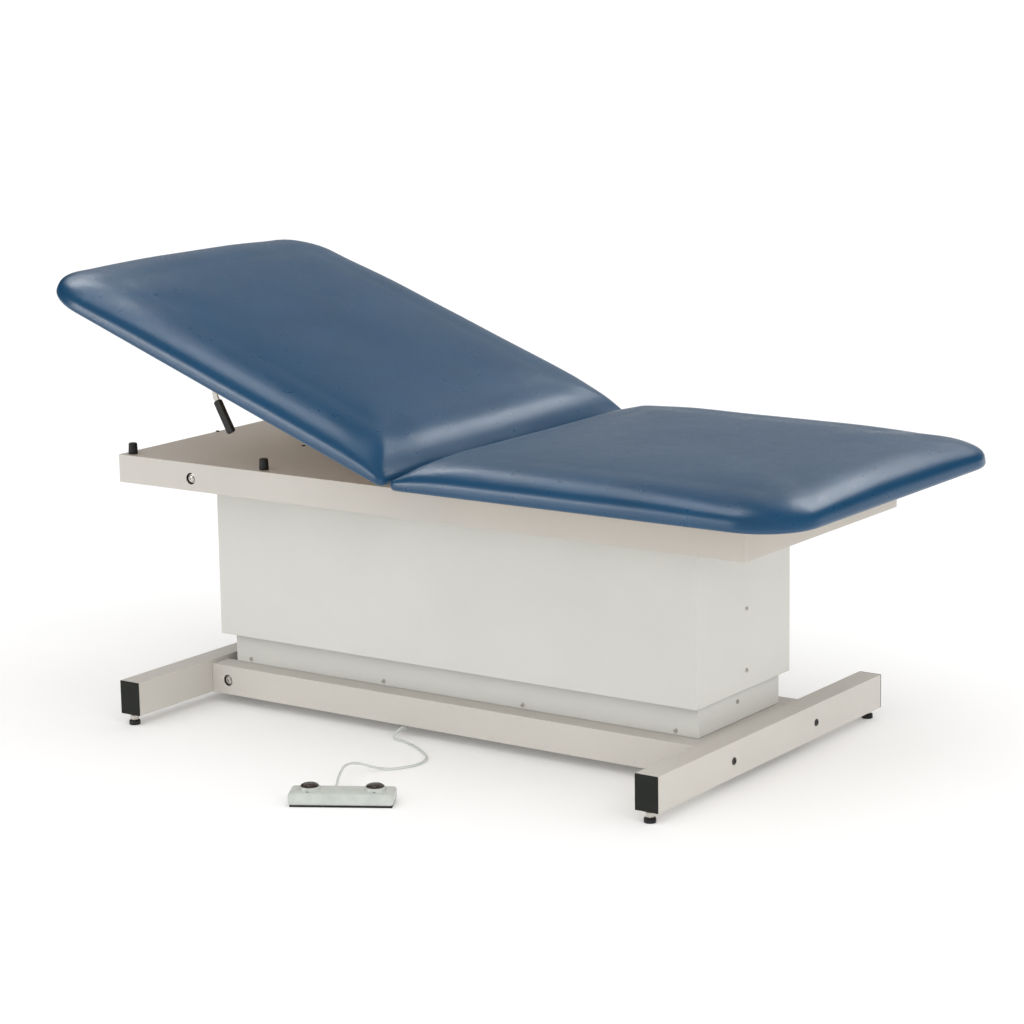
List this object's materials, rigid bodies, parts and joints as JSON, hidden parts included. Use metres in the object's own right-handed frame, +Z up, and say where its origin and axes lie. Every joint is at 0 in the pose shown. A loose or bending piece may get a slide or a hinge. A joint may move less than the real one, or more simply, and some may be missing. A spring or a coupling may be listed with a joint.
{
  "type": "medical exam table",
  "caption": "Powered two-section examination table: adjustable backrest, padded vinyl top, scissor lift under telescoping shrouds, wired foot switch.",
  "frame": {"origin": "on the floor, under the middle of the whole object's bounding box, foot switch included", "axes": "+X towards the foot end, +Y towards the rear side, +Z up; the head end with the raised backrest is at -X and the foot switch at -Y"},
  "size_m": [1.769, 1.1294, 0.9287],
  "materials": {
    "frame_paint": "warm light-beige powder coat, satin",
    "shroud_paint": "off-white powder coat, satin",
    "vinyl": "royal-blue upholstery vinyl with a fine grain, satin gloss",
    "black_plastic": "matt black moulded plastic",
    "rubber": "black rubber",
    "steel": "bright zinc-plated steel",
    "dark_steel": "black painted steel",
    "plywood": "birch plywood",
    "switch_plastic": "pale grey moulded plastic, satin",
    "button_plastic": "dark brown domed plastic",
    "cord_plastic": "pale grey cable sheath"
  },
  "bodies": {
    "base": {"head_cross_beam": "frame_paint", "foot_cross_beam": "frame_paint", "front_long_beam": "frame_paint", "rear_long_beam": "frame_paint", "head_front_end_cap": "black_plastic", "head_rear_end_cap": "black_plastic", "foot_front_end_cap": "black_plastic", "foot_rear_end_cap": "black_plastic", "base_pan": "frame_paint", "foot_filler_plate": "frame_paint", "inner_shroud": "shroud_paint", "base_pivot_shaft": "steel", "front_foot_beam_bolt": "dark_steel", "rear_foot_beam_bolt": "dark_steel", "control_box": "black_plastic", "actuator_base_bracket": "frame_paint", "cord_gland": "switch_plastic", "pedal_base": "rubber", "pedal_cover": "switch_plastic", "foot_switch_cord": "cord_plastic"},
    "outer_arms": {"front_outer_arm": "dark_steel", "rear_outer_arm": "dark_steel", "centre_pivot_shaft": "steel"},
    "inner_arms": {"front_inner_arm": "dark_steel", "rear_inner_arm": "dark_steel"},
    "lower_axle": {"lower_roller_axle": "steel"},
    "upper_axle": {"upper_roller_axle": "steel"},
    "actuator": {"actuator_housing": "dark_steel", "actuator_motor": "dark_steel"},
    "actuator_rod_slide": {"actuator_rod": "steel"},
    "tray": {"tray_pan": "frame_paint", "tray_bottom_plate": "frame_paint", "outer_shroud": "shroud_paint", "tray_pivot_shaft": "steel", "head_front_bumper": "rubber", "hinge_front_bumper": "rubber", "head_rear_bumper": "rubber", "hinge_rear_bumper": "rubber", "gas_spring_base_bracket": "frame_paint", "seat_board": "plywood", "seat_cushion": "vinyl", "front_seat_rail": "frame_paint", "rear_seat_rail": "frame_paint"},
    "backrest": {"backrest_board": "plywood", "backrest_cushion": "vinyl", "front_backrest_rail": "frame_paint", "rear_backrest_rail": "frame_paint", "gas_spring_top_bracket": "frame_paint", "release_lever_bracket": "frame_paint"},
    "gas_spring": {"gas_spring_cylinder": "dark_steel"},
    "gas_spring_rod_slide": {"gas_spring_rod": "steel"},
    "release_lever_swing": {"release_lever": "steel", "release_lever_grip": "rubber"},
    "raise_button_slide": {"raise_button": "button_plastic"},
    "lower_button_slide": {"lower_button": "button_plastic"},
    "head_front_foot_screw": {"head_front_foot": "rubber"},
    "head_rear_foot_screw": {"head_rear_foot": "rubber"},
    "foot_front_foot_screw": {"foot_front_foot": "rubber"},
    "foot_rear_foot_screw": {"foot_rear_foot": "rubber"}
  },
  "joints": [
    {"name": "lift", "type": "hinge", "parent": "base", "child": "outer_arms", "pos_m": [-0.59846, 0.13317, 0.0525], "axis": [0, -1, 0], "range_deg": [-2.5, 12]},
    {"name": "inner_arm_fold", "type": "hinge", "parent": "outer_arms", "child": "inner_arms", "pos_m": [-0.03773, 0.13317, 0.277], "axis": [0, -1, 0], "range_deg": [-24.05, 5.05]},
    {"name": "tray_level", "type": "hinge", "parent": "inner_arms", "child": "tray", "pos_m": [-0.59846, 0.13317, 0.5015], "axis": [0, -1, 0], "range_deg": [-2.55, 12.05]},
    {"name": "lower_axle_roll", "type": "hinge", "parent": "inner_arms", "child": "lower_axle", "pos_m": [0.52299, 0.13317, 0.0525], "axis": [0, 1, 0], "continuous": true},
    {"name": "upper_axle_roll", "type": "hinge", "parent": "outer_arms", "child": "upper_axle", "pos_m": [0.52299, 0.13317, 0.5015], "axis": [0, 1, 0], "continuous": true},
    {"name": "actuator_swing", "type": "hinge", "parent": "base", "child": "actuator", "pos_m": [0.33154, 0.13317, 0.0515], "axis": [0, -1, 0], "range_deg": [-7.25, 1.55]},
    {"name": "actuator_extend", "type": "slide", "parent": "actuator", "child": "actuator_rod_slide", "axis": [-0.9112, 0, 0.4119], "range_m": [-0.01883, 0.0896]},
    {"name": "backrest_tilt", "type": "hinge", "parent": "tray", "child": "backrest", "pos_m": [0.00614, 0.13317, 0.5609], "axis": [0, 1, 0], "range_deg": [-20.4, 30]},
    {"name": "gas_spring_swing", "type": "hinge", "parent": "tray", "child": "gas_spring", "pos_m": [-0.03386, 0.13317, 0.5089], "axis": [0, 1, 0], "range_deg": [-20.45, 30.05]},
    {"name": "gas_spring_extend", "type": "slide", "parent": "gas_spring", "child": "gas_spring_rod_slide", "axis": [-0.8843, 0, 0.467], "range_m": [-0.02284, 0.0335]},
    {"name": "release_lever_pull", "type": "hinge", "parent": "backrest", "child": "release_lever_swing", "pos_m": [-0.49946, -0.19483, 0.7295], "axis": [0, -1, 0], "range_deg": [0, 12], "stiffness_Nm_per_rad": 1.5, "springref_deg": -8.59},
    {"name": "raise_button_press", "type": "slide", "parent": "base", "child": "raise_button_slide", "axis": [0, 0, -1], "range_m": [0, 0.003], "stiffness_N_per_m": 1200, "springref_m": -0.001},
    {"name": "lower_button_press", "type": "slide", "parent": "base", "child": "lower_button_slide", "axis": [0, 0, -1], "range_m": [0, 0.003], "stiffness_N_per_m": 1200, "springref_m": -0.001},
    {"name": "head_front_foot_level", "type": "slide", "parent": "base", "child": "head_front_foot_screw", "axis": [0, 0, -1], "range_m": [0, 0.01]},
    {"name": "head_rear_foot_level", "type": "slide", "parent": "base", "child": "head_rear_foot_screw", "axis": [0, 0, -1], "range_m": [0, 0.01]},
    {"name": "foot_front_foot_level", "type": "slide", "parent": "base", "child": "foot_front_foot_screw", "axis": [0, 0, -1], "range_m": [0, 0.01]},
    {"name": "foot_rear_foot_level", "type": "slide", "parent": "base", "child": "foot_rear_foot_screw", "axis": [0, 0, -1], "range_m": [0, 0.01]}
  ],
  "couplings": [
    {"joint": "inner_arm_fold", "follows": "lift", "ratio": -2},
    {"joint": "tray_level", "follows": "lift", "ratio": 1},
    {"joint": "actuator_swing", "follows": "lift", "ratio": -0.6},
    {"joint": "actuator_extend", "follows": "lift", "m_per_rad": 0.42685},
    {"joint": "gas_spring_swing", "follows": "backrest_tilt", "ratio": 1},
    {"joint": "gas_spring_extend", "follows": "backrest_tilt", "m_per_rad": 0.063598}
  ]
}
